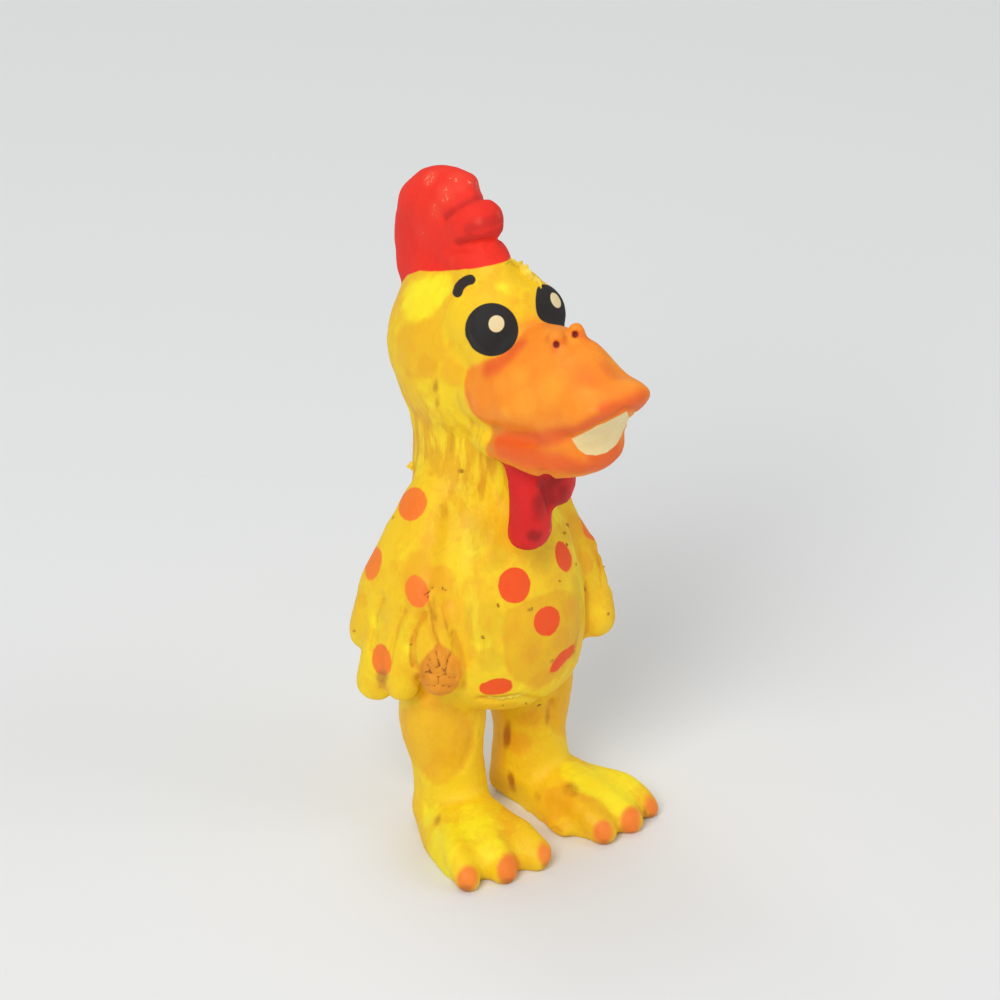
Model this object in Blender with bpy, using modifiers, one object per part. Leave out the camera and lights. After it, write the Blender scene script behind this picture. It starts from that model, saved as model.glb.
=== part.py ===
"""A moulded natural-latex toy: a comic duck that stands upright on two big feet.

The real toy is one piece. Latex is poured into a plaster mould and comes out as a single skin, with the
comb, bill, wattles, wings and feet all drawn in the same rubber, so this file makes one closed solid.

It is built the way a modeller would block it in clay. Each limb or lobe is a loft along a few
hand-chosen sections or an ellipsoid, set against its neighbour. All of them are then fused by a voxel
remesh, smoothed so that the joints close into soft fillets, and cut flat under the soles.

Axes: +Z up, the bill looks along -Y, and the toy's left side is +X. Lengths are in metres.
"""

import math

import bmesh
import bpy
from mathutils import Matrix, Vector

MM = 0.001

# Legs and feet
LEG_HEIGHT = 34 * MM  # floor to crotch
HIP_SPACING = 28.6 * MM
ANKLE_SPACING = 25.5 * MM
HIP_RADIUS = 11.4 * MM
ANKLE_RADIUS = 9.7 * MM
FOOT_LENGTH = 37.5 * MM  # ankle axis to the tip of the middle toe
FOOT_WIDTH = 29 * MM  # across the toes
FOOT_HEIGHT = 12 * MM
RIGHT_SPLAY = math.radians(12)
LEFT_SPLAY = math.radians(17)  # the left foot turns out more and is slimmer
LEFT_SLIMNESS = 0.86
TOE_RADIUS = 4.3 * MM

# Trunk and neck
TORSO_HEIGHT = 62 * MM  # crotch to the foot of the neck
BELLY_WIDTH = 51 * MM
BELLY_DEPTH = 48 * MM
NECK_WIDTH = 28 * MM
NECK_DEPTH = 30.5 * MM
NECK_HEIGHT = 17 * MM  # foot of the neck to the underside of the skull
NECK_SETBACK = 9 * MM  # how far the neck stands behind the ankles

# Head
HEAD_WIDTH = 38 * MM
HEAD_LENGTH = 47 * MM
HEAD_HEIGHT = 52 * MM
COMB_HEIGHT = 23 * MM  # above the crown
COMB_LENGTH = 40 * MM
COMB_THICKNESS = 15 * MM
EYE_RADIUS = 6.6 * MM
EYE_SPACING = 18.2 * MM
EYE_BULGE = 2.7 * MM

# Bill, which points up by its tilt
BILL_TILT = math.radians(28)
BILL_REACH = 58 * MM  # middle of the face to the lip
BILL_WIDTH = 30 * MM
JAW_REACH = 42 * MM

# Wattles and wings
WATTLE_LENGTH = 33 * MM
WING_SPREAD = 31 * MM  # mid-plane to the outermost feather
FEATHER_RADIUS = 5.4 * MM

# Surface
VOXEL = 0.9 * MM
SMOOTH_PASSES = 6
FACE_BUDGET = 11000
YELLOW = (0.93, 0.66, 0.05, 1.0)


def clear_scene():
    for thing in list(bpy.data.objects):
        bpy.data.objects.remove(thing, do_unlink=True)


def spline(values, share):
    """Catmull-Rom value at share (0 to 1) of a list of equal-length tuples."""
    spans = len(values) - 1
    place = min(share * spans, spans - 1e-9)
    index = int(place)
    t = place - index
    before, here, there, after = (
        Vector(values[min(max(index + step, 0), spans)]) for step in (-1, 0, 1, 2)
    )
    return 0.5 * (
        2 * here
        + (there - before) * t
        + (2 * before - 5 * here + 4 * there - after) * t**2
        + (3 * here - before - 3 * there + after) * t**3
    )


def ring_points(centre, across, over, under, sides):
    """Points of an oval whose upper and lower halves may differ in height."""
    for corner in range(sides):
        angle = 2 * math.pi * corner / sides
        height = over if math.sin(angle) > 0 else under
        yield centre + across * math.cos(angle) + height * math.sin(angle)


def add_loft(clay, sections, side=(1, 0, 0), sides=28, steps=5, cap=1.0, facing=None):
    """Skins a limb with round ends.

    sections holds (x, y, z, half width along side, half thickness) from one end to the other. A sixth
    number makes the half under the path thinner or thicker than the half over it. cap scales how far
    the dome at each end stands out. Every section squares up to the path, or to the direction facing
    where one is given.
    """
    centres = [s[:3] for s in sections]
    sizes = [(s[3], s[4], s[-1]) for s in sections]
    count = (len(sections) - 1) * steps
    path = [spline(centres, i / count) for i in range(count + 1)]
    girth = [spline(sizes, i / count) for i in range(count + 1)]
    heading = [
        facing or (path[min(i + 1, count)] - path[max(i - 1, 0)]).normalized()
        for i in range(count + 1)
    ]
    dome = [math.radians(a) for a in (75, 55, 35, 15)]
    stations = []
    for angle in dome:
        reach = cap * min(girth[0]) * math.sin(angle)
        stations.append((path[0] - heading[0] * reach, girth[0] * math.cos(angle), heading[0]))
    stations += list(zip(path, girth, heading))
    for angle in reversed(dome):
        reach = cap * min(girth[-1]) * math.sin(angle)
        stations.append((path[-1] + heading[-1] * reach, girth[-1] * math.cos(angle), heading[-1]))
    rings = []
    for centre, size, along in stations:
        across = (Vector(side) - along * along.dot(Vector(side))).normalized()
        over = along.cross(across)
        points = ring_points(centre, across * size[0], over * size[1], over * size[2], sides)
        rings.append([clay.verts.new(p) for p in points])
    for low, high in zip(rings, rings[1:]):
        for i in range(sides):
            j = (i + 1) % sides
            clay.faces.new((low[i], low[j], high[j], high[i]))
    start = clay.verts.new(path[0] - heading[0] * cap * min(girth[0]))
    end = clay.verts.new(path[-1] + heading[-1] * cap * min(girth[-1]))
    for i in range(sides):
        j = (i + 1) % sides
        clay.faces.new((start, rings[0][j], rings[0][i]))
        clay.faces.new((end, rings[-1][i], rings[-1][j]))


def add_ball(clay, centre, radii, turn=None):
    place = Matrix.Translation(centre) @ (turn or Matrix()) @ Matrix.Diagonal((*radii, 1))
    bmesh.ops.create_uvsphere(clay, u_segments=32, v_segments=18, radius=1, matrix=place)


def skull_centre():
    underside = LEG_HEIGHT + TORSO_HEIGHT + NECK_HEIGHT
    return Vector((0, NECK_SETBACK, underside - 4.5 * MM + HEAD_HEIGHT / 2))


def bill_axes():
    """The bill's forward and upward directions."""
    ahead = Vector((0, -math.cos(BILL_TILT), math.sin(BILL_TILT)))
    above = Vector((0, math.sin(BILL_TILT), math.cos(BILL_TILT)))
    return ahead, above


def face_point(forward, right, up):
    """World place of a point given along the tilted bill, from the middle of the face."""
    ahead, above = bill_axes()
    middle = skull_centre() + Vector((0, -0.10 * HEAD_LENGTH, 0.13 * HEAD_HEIGHT))
    return middle + forward * ahead + right * Vector((1, 0, 0)) + up * above


def trunk(clay):
    """Belly, chest and neck in one loft. The fullness runs from the neck's girth (0) to the belly's (1)."""
    profile = [
        # height share, fullness sideways, fullness front to back, place of the centre
        (0.19, 0.62, 0.62, 2.0),
        (0.24, 0.86, 0.86, 1.0),
        (0.31, 0.97, 0.97, 0.0),
        (0.42, 1.00, 1.02, -0.5),
        (0.56, 0.98, 0.92, 0.5),
        (0.72, 0.88, 0.66, 2.5),
        (0.88, 0.56, 0.30, 5.5),
        (1.00, 0.17, 0.08, 7.5),
    ]
    sections = []
    for height, broad, stout, back in profile:
        wide = NECK_WIDTH + (BELLY_WIDTH - NECK_WIDTH) * broad
        deep = NECK_DEPTH + (BELLY_DEPTH - NECK_DEPTH) * stout
        z = LEG_HEIGHT + height * TORSO_HEIGHT
        sections.append((0, back * MM, z, wide / 2, deep / 2))
    neck_foot = LEG_HEIGHT + TORSO_HEIGHT
    for height, growth in ((0.9, 0.0), (2.0, 1.5)):
        z = neck_foot + height * NECK_HEIGHT
        half = (NECK_WIDTH / 2 + growth * MM, NECK_DEPTH / 2 + growth * MM)
        sections.append((0, NECK_SETBACK, z, *half))
    add_loft(clay, sections, cap=0.2, sides=40)


def head(clay):
    """An upright egg, with a brow that carries the eyes in front of it."""
    middle = skull_centre()
    add_ball(clay, middle, (HEAD_WIDTH / 2, HEAD_LENGTH / 2, HEAD_HEIGHT / 2))
    brow = middle + Vector((0, -0.26 * HEAD_LENGTH, 0.28 * HEAD_HEIGHT))
    add_ball(clay, brow, (0.40 * HEAD_WIDTH, 0.32 * HEAD_LENGTH, 0.25 * HEAD_HEIGHT))
    ahead, above = bill_axes()
    for hand in (-1, 1):
        normal = Vector((hand * 0.36, -0.78, 0.51)).normalized()
        eye = face_point(0.36 * BILL_REACH, hand * EYE_SPACING / 2, 0.15 * EYE_RADIUS)
        turn = normal.to_track_quat("Z", "Y").to_matrix().to_4x4()
        add_ball(clay, eye, (EYE_RADIUS, EYE_RADIUS, EYE_BULGE), turn)
        cheek = eye - 6.5 * MM * normal + Vector((0, 0, -3.5 * MM))
        add_ball(clay, cheek, (1.1 * EYE_RADIUS, 1.3 * EYE_RADIUS, 1.3 * EYE_RADIUS))
        nostril = face_point(0.685 * BILL_REACH, hand * 0.12 * BILL_WIDTH, -4.6 * MM)
        add_ball(clay, nostril, (2.7 * MM, 2.9 * MM, 2.6 * MM))


def bill(clay):
    """Upper bill with its overhanging lip, the tooth band under it and the scooped lower bill."""
    ahead, above = bill_axes()
    rows = [
        # forward share of the reach, half width share, then heights of crown, edge and underside
        (0.14, 0.55, -5.0, -16.0, -26.0),
        (0.32, 0.56, -2.0, -18.5, -28.0),
        (0.52, 0.49, -2.0, -22.0, -29.0),
        (0.68, 0.43, -6.5, -25.5, -30.5),
        (0.80, 0.425, -13.5, -25.8, -30.6),
        (0.88, 0.40, -18.8, -25.0, -28.8),
        (0.94, 0.33, -21.4, -24.2, -27.0),
    ]
    sections = []
    for share, wide, crown, edge, under in rows:
        spot = face_point(share * BILL_REACH, 0, edge * MM)
        sections.append((*spot, wide * BILL_WIDTH, (crown - edge) * MM, (edge - under) * MM))
    add_loft(clay, sections, cap=1.0, sides=36, facing=ahead)
    jaw = [
        # forward share of the reach, half width share, middle height, half height
        (0.06, 0.46, -27.0, 7.0),
        (0.26, 0.47, -29.2, 7.6),
        (0.52, 0.45, -33.0, 8.0),
        (0.74, 0.42, -34.4, 7.0),
        (0.88, 0.34, -34.6, 5.4),
    ]
    sections = []
    for share, wide, middle, half in jaw:
        spot = face_point(share * JAW_REACH, 0, middle * MM)
        sections.append((*spot, wide * BILL_WIDTH, half * MM))
    add_loft(clay, sections, cap=0.9, sides=36, facing=ahead)
    turn = Matrix.Rotation(-BILL_TILT, 4, "X")
    teeth = face_point(0.80 * JAW_REACH, 0, -BILL_WIDTH)
    add_ball(clay, teeth, (0.42 * BILL_WIDTH, 0.30 * JAW_REACH, 5.5 * MM), turn)


def comb(clay):
    """Rolled lobes on a long root that reaches down the back of the head."""
    crown = skull_centre() + Vector((0, 0, HEAD_HEIGHT / 2))
    lobes = [
        # back from the crown, height over it, half thickness, half length, half height (shares)
        (0.205, 0.27, 0.50, 0.440, 0.65),
        (0.300, -0.19, 0.52, 0.440, 0.69),
        (-0.03, 0.50, 0.50, 0.26, 0.32),
        (-0.06, 0.08, 0.54, 0.32, 0.25),
    ]
    for back, above, thick, long, tall in lobes:
        centre = crown + Vector((0, back * COMB_LENGTH, above * COMB_HEIGHT))
        radii = (thick * COMB_THICKNESS, long * COMB_LENGTH, tall * COMB_HEIGHT)
        add_ball(clay, centre, radii)


def wattles(clay):
    """A long and a short lobe hang from the throat, with a web that joins them to the neck."""
    throat = skull_centre() + Vector((0, -0.64 * HEAD_LENGTH, -0.27 * HEAD_HEIGHT))
    for right, length, radius in ((-3.6, 1.0, 6.4), (5.0, 0.66, 5.6)):
        drop = length * WATTLE_LENGTH - radius * MM
        sections = [
            (right * MM * 0.8, throat.y + 6 * MM, throat.z, radius * 0.9 * MM, radius * 0.8 * MM),
            (right * MM, throat.y - 1 * MM, throat.z - drop * 0.5, radius * 0.9 * MM, radius * 0.7 * MM),
            (right * MM, throat.y - 1 * MM, throat.z - drop, radius * MM, radius * 0.8 * MM),
        ]
        add_loft(clay, sections, cap=0.9, sides=24)
    web = throat + Vector((0, 11 * MM, -0.34 * WATTLE_LENGTH))
    add_ball(clay, web, (3.6 * MM, 10 * MM, 0.48 * WATTLE_LENGTH))


def wing(clay, hand):
    """A drooping wing whose four feathers end like fingers. hand is -1 for the toy's right side."""
    top = LEG_HEIGHT + TORSO_HEIGHT

    def spot(out, ahead, drop):
        return Vector((hand * out * WING_SPREAD, -ahead * MM, top - drop * MM))

    blade = [
        # outward share, forward, drop, half depth, half thickness
        (0.42, -4.5, -3.0, 8.0, 5.0),
        (0.70, -4.5, 11.0, 11.0, 5.0),
        (0.85, -3.5, 25.0, 15.0, 5.0),
        (0.88, -2.0, 37.0, 16.5, 4.4),
    ]
    sections = []
    for out, ahead, drop, deep, thick in blade:
        sections.append((*spot(out, ahead, drop), deep * MM, thick * MM))
    add_loft(clay, sections, side=(0, 1, 0), cap=0.6)
    feathers = [
        # root outward, forward, drop, then the same of the tip, then the girth
        (0.78, -10.0, 24.0, 0.88, -16.5, 45.5, 1.00),
        (0.84, -6.0, 30.0, 0.97, -9.0, 56.5, 1.02),
        (0.84, 1.0, 30.0, 0.96, 1.5, 52.0, 0.92),
        (0.78, 7.0, 28.0, 0.82, 12.5, 46.6, 1.04),
    ]
    for r_out, r_ahead, r_drop, t_out, t_ahead, t_drop, girth in feathers:
        radius = girth * FEATHER_RADIUS
        root = spot(r_out, r_ahead, r_drop)
        tip = spot(t_out, t_ahead, t_drop) + Vector((0, 0, radius * 0.9))
        middle = root.lerp(tip, 0.5) + Vector((hand * 1.0 * MM, 0, 0))
        sections = [(*root, radius, radius * 0.9), (*middle, radius, radius), (*tip, radius, radius)]
        add_loft(clay, sections, side=(0, 1, 0), sides=20)


def leg(clay, hand):
    hip = HIP_SPACING / 2
    ankle = ANKLE_SPACING / 2
    sections = [
        (hand * hip, 1.5 * MM, LEG_HEIGHT + 8 * MM, HIP_RADIUS, HIP_RADIUS),
        (hand * hip, 1.5 * MM, LEG_HEIGHT * 0.9, HIP_RADIUS, HIP_RADIUS),
        (hand * (hip + ankle) / 2, 0.5 * MM, LEG_HEIGHT * 0.6, ANKLE_RADIUS, ANKLE_RADIUS),
        (hand * ankle, 0, LEG_HEIGHT * 0.36, ANKLE_RADIUS, ANKLE_RADIUS),
        (hand * ankle, 0, LEG_HEIGHT * 0.1, ANKLE_RADIUS * 1.1, ANKLE_RADIUS * 1.1),
    ]
    add_loft(clay, sections, cap=0.4)


def foot(clay, hand):
    """A broad paddle with three front toes and a small one on its inner side."""
    ankle = Vector((hand * ANKLE_SPACING / 2, 0, 0))
    splay, slimness = (LEFT_SPLAY, LEFT_SLIMNESS) if hand > 0 else (RIGHT_SPLAY, 1.0)
    breadth = slimness * FOOT_WIDTH
    ahead = Vector((hand * math.sin(splay), -math.cos(splay), 0))
    outward = Vector((hand * math.cos(splay), math.sin(splay), 0))

    def spot(forward, out, height):
        return ankle + forward * ahead + out * breadth * outward + Vector((0, 0, height))

    rows = [
        # forward share, half width share, height share of the top
        (0.02, 0.36, 0.84),
        (0.22, 0.43, 1.06),
        (0.42, 0.46, 1.04),
        (0.60, 0.47, 0.90),
        (0.74, 0.45, 0.68),
    ]
    sections = []
    low = 0.12 * FOOT_HEIGHT
    for share, wide, top in rows:
        middle = spot(share * FOOT_LENGTH, 0, low)
        sections.append((*middle, wide * breadth, top * FOOT_HEIGHT - low))
    add_loft(clay, sections, side=tuple(outward), cap=0.5)
    toes = [
        # outward share, reach share, radius share
        (0.36, 0.99, 0.95),
        (0.00, 1.00, 1.05),
        (-0.36, 0.94, 0.95),
    ]
    for out, reach, girth in toes:
        radius = girth * TOE_RADIUS
        tip = reach * FOOT_LENGTH - radius
        sections = [
            (*spot(0.38 * FOOT_LENGTH, 0.60 * out, 0.56 * FOOT_HEIGHT), radius, radius),
            (*spot(0.68 * FOOT_LENGTH, 0.92 * out, 0.52 * FOOT_HEIGHT), radius, radius),
            (*spot(tip, out, 0.24 * FOOT_HEIGHT), radius * 0.92, radius * 0.92),
        ]
        add_loft(clay, sections, side=tuple(outward), sides=20)
    small = 0.6 * TOE_RADIUS
    sections = [
        (*spot(0.44 * FOOT_LENGTH, -0.40 / slimness, small * 0.8), small, small),
        (*spot(0.60 * FOOT_LENGTH, -0.51 / slimness, small * 0.7), small * 0.8, small * 0.8),
    ]
    add_loft(clay, sections, side=tuple(outward), sides=16)


def mesh_object(name, shape):
    mesh = bpy.data.meshes.new(name)
    shape.to_mesh(mesh)
    shape.free()
    thing = bpy.data.objects.new(name, mesh)
    bpy.context.scene.collection.objects.link(thing)
    return thing


def settled(thing):
    """Replaces the object's mesh by its evaluated one and drops the modifiers."""
    graph = bpy.context.evaluated_depsgraph_get()
    mesh = bpy.data.meshes.new_from_object(thing.evaluated_get(graph))
    thing.modifiers.clear()
    thing.data = mesh
    return thing


def face_outward(thing):
    shape = bmesh.new()
    shape.from_mesh(thing.data)
    bmesh.ops.recalc_face_normals(shape, faces=shape.faces)
    shape.to_mesh(thing.data)
    shape.free()


def fuse(thing):
    """One skin over all the lofts. The second, coarser pass closes the narrow clefts the first leaves."""
    face_outward(thing)
    for voxel, passes in ((VOXEL, SMOOTH_PASSES), (1.1 * VOXEL, SMOOTH_PASSES - 2)):
        remesh = thing.modifiers.new("One skin", "REMESH")
        remesh.mode = "VOXEL"
        remesh.voxel_size = voxel
        smooth = thing.modifiers.new("Soften", "SMOOTH")
        smooth.factor = 0.5
        smooth.iterations = passes
    return settled(thing)


def flatten_soles(thing):
    """Cuts away what lies under the floor, which leaves a flat sole on each foot."""
    room = 0.2
    cutter_shape = bmesh.new()
    place = Matrix.Translation((0, 0, -room / 2)) @ Matrix.Scale(room, 4)
    bmesh.ops.create_cube(cutter_shape, size=1, matrix=place)
    cutter = mesh_object("floor_cutter", cutter_shape)
    cutter.hide_render = True
    cutter.display_type = "WIRE"
    cut = thing.modifiers.new("Flat soles", "BOOLEAN")
    cut.operation = "DIFFERENCE"
    cut.object = cutter


def thin_out(thing):
    ratio = FACE_BUDGET / (2 * len(thing.data.polygons))
    thin = thing.modifiers.new("Fewer faces", "DECIMATE")
    thin.ratio = min(1.0, ratio)
    relax = thing.modifiers.new("Relax", "SMOOTH")
    relax.factor = 0.4
    relax.iterations = 1
    return settled(thing)


def centre_on_floor(thing):
    """Moves the mesh so that the middle of its bounding box stands over the origin."""
    xs = [v.co.x for v in thing.data.vertices]
    ys = [v.co.y for v in thing.data.vertices]
    middle = Vector(((min(xs) + max(xs)) / 2, (min(ys) + max(ys)) / 2, 0))
    thing.data.transform(Matrix.Translation(-middle))


def latex():
    material = bpy.data.materials.new("yellow_latex")
    material.use_nodes = True
    shader = material.node_tree.nodes["Principled BSDF"]
    shader.inputs["Base Color"].default_value = YELLOW
    shader.inputs["Roughness"].default_value = 0.5
    return material


def main():
    clear_scene()
    clay = bmesh.new()
    trunk(clay)
    head(clay)
    bill(clay)
    comb(clay)
    wattles(clay)
    for hand in (-1, 1):
        wing(clay, hand)
        leg(clay, hand)
        foot(clay, hand)
    duck = fuse(mesh_object("duck", clay))
    thin_out(duck)
    centre_on_floor(duck)
    flatten_soles(duck)
    duck.data.materials.clear()
    duck.data.materials.append(latex())
    duck.data.shade_smooth()


main()
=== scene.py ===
# %% [markdown]
# # A comic latex duck on two big feet
#
# The real toy is a single skin of natural latex. The liquid is poured into a plaster mould, dries to a
# rubbery shell a millimetre or two thick, and is then painted by hand. With the years the rubber stains,
# wrinkles and tears. So there is almost nothing to assemble here: the work is one skin with carved
# detail, a paint job with real edges, and the small bits that age has left on it.

# %% Load the solid
import math

import bmesh
import bpy
import numpy as np
from mathutils import Matrix, Vector
from mathutils import noise as rough


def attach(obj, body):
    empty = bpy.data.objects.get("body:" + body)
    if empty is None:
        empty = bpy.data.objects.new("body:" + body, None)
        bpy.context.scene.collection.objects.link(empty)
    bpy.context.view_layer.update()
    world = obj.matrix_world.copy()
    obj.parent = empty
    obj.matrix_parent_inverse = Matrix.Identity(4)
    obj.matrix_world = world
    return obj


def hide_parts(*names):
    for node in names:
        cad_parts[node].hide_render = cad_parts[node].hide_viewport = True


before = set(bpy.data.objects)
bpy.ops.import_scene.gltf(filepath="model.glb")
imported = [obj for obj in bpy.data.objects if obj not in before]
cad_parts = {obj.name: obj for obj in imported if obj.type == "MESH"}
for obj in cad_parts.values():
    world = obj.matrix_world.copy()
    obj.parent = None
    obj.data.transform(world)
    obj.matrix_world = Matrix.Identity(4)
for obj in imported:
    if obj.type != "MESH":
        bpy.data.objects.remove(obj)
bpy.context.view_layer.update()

# %% [markdown]
# ## The camera comes first
#
# A photograph is easiest to follow when the camera stands where the photographer stood. This one was
# taken from a little above and from the duck's right. It looks through a long lens, which keeps the legs
# nearly upright.

# %% Camera
TURN, TILT = math.radians(37), math.radians(29)
RIGHT = Vector((math.cos(TURN), -math.sin(TURN), 0))
BACK = Vector((-math.sin(TURN) * math.cos(TILT), -math.cos(TURN) * math.cos(TILT), math.sin(TILT)))
UP = BACK.cross(RIGHT)
EYE = Vector((-1.3147, -1.7395, 1.3056))

lens = bpy.data.cameras.new("camera")
lens.lens, lens.sensor_width = 346.5, 36
lens.clip_start, lens.clip_end = 0.1, 20
camera = bpy.data.objects.new("camera", lens)
camera.matrix_world = Matrix.Translation(EYE) @ Matrix((RIGHT, UP, BACK)).transposed().to_4x4()
bpy.context.scene.collection.objects.link(camera)
bpy.context.scene.camera = camera
print("camera looks down by", round(math.degrees(TILT)), "degrees")

# %% [markdown]
# ## A skin fine enough to carve
#
# The solid has large triangles, because a physics model has no use for small ones. Remeshing it into
# even little squares gives every part of the skin the same fineness, like fresh clay. The facets of the
# old triangles have to go as well. Plain smoothing would shrink the toes, so each pull inwards is
# followed by a slightly stronger push outwards, which keeps the volume.

# %% Remesh the solid
GRAIN = 0.725  # mm between points of the skin


def plain_mesh(thing):
    graph = bpy.context.evaluated_depsgraph_get()
    return bpy.data.meshes.new_from_object(thing.evaluated_get(graph))


def linked(name, mesh):
    thing = bpy.data.objects.new(name, mesh)
    bpy.context.scene.collection.objects.link(thing)
    return thing


solid = bmesh.new()
solid.from_mesh(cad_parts["duck"].data)
bmesh.ops.remove_doubles(solid, verts=solid.verts, dist=1e-6)
clay = bpy.data.meshes.new("clay")
solid.to_mesh(clay)
solid.free()

block = linked("block", clay)
remesh = block.modifiers.new("Even squares", "REMESH")
remesh.mode, remesh.voxel_size = "VOXEL", GRAIN / 1000
skin = plain_mesh(block)
skin.name = "latex_skin"
bpy.data.objects.remove(block)
print("skin has", len(skin.vertices), "points and", len(skin.polygons), "squares")

# %% Read, write and smooth its points in millimetres
count = len(skin.vertices)
ends = np.empty(2 * len(skin.edges), np.int32)
skin.edges.foreach_get("vertices", ends)
ends = ends.reshape(-1, 2)
valence = np.bincount(ends.ravel(), minlength=count)[:, None]


def from_mesh(collection, field):
    flat = np.empty(3 * len(collection), np.float32)
    collection.foreach_get(field, flat)
    return flat.reshape(-1, 3).astype(float)


def neighbour_mean(values):
    total = np.empty_like(values)
    for axis in range(values.shape[1]):
        column = values[:, axis]
        total[:, axis] = np.bincount(ends[:, 0], column[ends[:, 1]], count)
        total[:, axis] += np.bincount(ends[:, 1], column[ends[:, 0]], count)
    return total / valence


def smoothed(values, rounds, pull=0.5, push=0.52):
    for step in range(2 * rounds):
        share = pull if step % 2 == 0 else -push
        values = values + share * (neighbour_mean(values) - values)
    return values


SMOOTHING = 16  # rounds of pull and push
SOLE = 0.05  # mm above the floor: what lies lower belongs to the flat soles
points = 1000 * from_mesh(skin.vertices, "co")
on_floor = points[:, 2] < SOLE
points = smoothed(points, SMOOTHING)
points[on_floor, 2] = 0
print("tallest point, mm:", round(points[:, 2].max(), 1))

# %% [markdown]
# ## Finding a place on the skin
#
# Every mark on this toy was found by looking at it from the camera. So each place below is typed as the
# camera sees it: across and down, in thousandths of the picture's width. The first place on the skin
# behind such a point is the one that is meant. The duck's other side gets the same marks by mirror.

# %% From the picture to the skin
MIRROR = np.array([-1.0, 1.0, 1.0])
AIM = 2.6  # how far off a point may be, in thousandths of the width
THIN = 5  # mm: a point this far behind the first one is left out
ZOOM = 1000 * lens.lens / lens.sensor_width


def seen(places):
    """Where the camera sees each place: across, down, and how far away it is in mm."""
    away = places - 1000 * np.array(EYE)
    depth = -(away @ np.array(BACK))
    across, up = away @ np.array(RIGHT), away @ np.array(UP)
    return np.stack([500 + ZOOM * across / depth, 500 - ZOOM * up / depth, depth], axis=1)


view, mirror_view = seen(points), seen(points * MIRROR)


def on_skin(across, down):
    """The place on the skin that the camera sees there."""
    gap = np.hypot(view[:, 0] - across, view[:, 1] - down)
    close = np.flatnonzero(gap < max(AIM, gap.min() + 0.5))
    front = close[view[close, 2] < view[close, 2].min() + THIN]
    return points[front[np.argmin(gap[front])]].copy()


def trace(*pairs):
    """A line of places on the skin."""
    return np.array([on_skin(*pair) for pair in pairs])


print("bill tip, mm:", on_skin(640, 398).round(1))

# %% [markdown]
# ## Carving tools
#
# A modelling studio needs few tools. One draws a groove or a ridge along a line and fades out gently
# with distance. Another roughens the surface with a slow random wave. Each works on all points at once.

# %% Tools


def fade(distance, radius):
    """1 at no distance and 0 from the radius on, with a soft shoulder at both ends."""
    t = np.clip(1 - distance / radius, 0, 1)
    return t * t * (3 - 2 * t)


def distance_to(line, places):
    """Distance from each place to a line of joined straight pieces, in two or three dimensions."""
    line = np.array(line, float)
    nearest = np.full(len(places), 1e9)
    for start, stop in zip(line, line[1:]):
        along = stop - start
        share = np.clip((places - start) @ along / max(along @ along, 1e-9), 0, 1)
        gap = np.linalg.norm(places - start - share[:, None] * along, axis=1)
        nearest = np.minimum(nearest, gap)
    return nearest


def normals_now():
    skin.vertices.foreach_set("co", (points / 1000).astype(np.float32).ravel())
    skin.update()
    return from_mesh(skin.vertex_normals, "vector")


def carve(line, width, depth, both=True):
    """Draws a groove along a line, or a ridge where the depth is negative."""
    global points
    gap = distance_to(line, points)
    if both:
        gap = np.minimum(gap, distance_to(np.array(line) * MIRROR, points))
    points = points - (depth * fade(gap, width))[:, None] * normals_now()


WAVE_START = 7.3  # away from the noise's own centre, where every wave is zero
WAVE_FALL, WAVE_STEP = 0.9, 2.1  # how each finer wave weakens and how much finer it is


def waves(size, stretch=(1, 1, 1), octaves=3):
    """A slow random wave over the skin, from about -1 to 1. size is the width of a hump in mm."""
    places = (points / (2 * size) * np.array(stretch) + WAVE_START).tolist()
    return np.array([rough.fractal(place, WAVE_FALL, WAVE_STEP, octaves) for place in places])


print("carving tools ready for", count, "points")


# %% [markdown]
# ## Ease the outline
#
# A solid made of rounded blocks comes within a few millimetres of the real outline. The last of it is
# pushed into place here, as a thumb would do it: the skin around a spot moves a little, as the camera
# sees it, and the move fades out with distance.

# %% Nudges
STEPS_PER_MM = 3.85  # thousandths of the picture's width that 1 mm covers at the duck
ALONG_FLOOR = np.array([math.sin(TURN), math.cos(TURN), 0]) / math.sin(TILT)


def nudge(across, down, radius, right, lower, both=True, level=False):
    """Moves the skin around a spot, by thousandths of the picture's width to the right and down.

    A level move keeps its height above the floor."""
    global points
    centre = on_skin(across, down)
    up = ALONG_FLOOR if level else np.array(UP)
    move = (right * np.array(RIGHT) - lower * up) / STEPS_PER_MM
    points = points + fade(np.linalg.norm(points - centre, axis=1), radius)[:, None] * move
    if both:
        gap = np.linalg.norm(points - centre * MIRROR, axis=1)
        points = points + fade(gap, radius)[:, None] * (move * MIRROR)


NUDGES = [  # across, down, radius in mm, right, lower, on both sides, level
    (403, 192, 13, -6, -1, False),
    (466, 176, 12, 6, -3, False),
    (402, 276, 8, -4, 1, False),
    (581, 326, 4.5, -3, 3, False),
    (596, 346, 7, 2, -3, False),
    (622, 369, 7, -3, 4, False),
    (602, 466, 12, 0, 3, False),
    (391, 340, 12, -2.5, 0, True),
    (408, 408, 10, -3, 0, False),
    (359, 588, 14, -4, 0, True),
    (567, 750, 8, 2.5, -2, False),
    (655, 800, 8, -5, 2, False),
    (549, 850, 6, 2.5, -3, False),
    (473, 182, 6, 3.5, -1, False),
    (526, 275, 7, -1.5, 2, False),
    (638, 384, 5, 0, -2, False),
    (566, 500, 5, 0, 3, False),
    (584, 514, 9, -3, 1, False),
    (573, 672, 10, 2.5, 0, False),
    (485, 190, 6.5, -8, 0, False),
    (494, 222, 5, -1.5, 0, False),
    (498, 238, 3.5, 2, 1, False),
    (410, 178, 9, 2.5, 2, False),
    (503, 797, 9, 0, -6, False, True),
    (522, 812, 9, 0, -4, False, True),
    (641, 437, 6, -2.5, 0, False),
]
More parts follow.
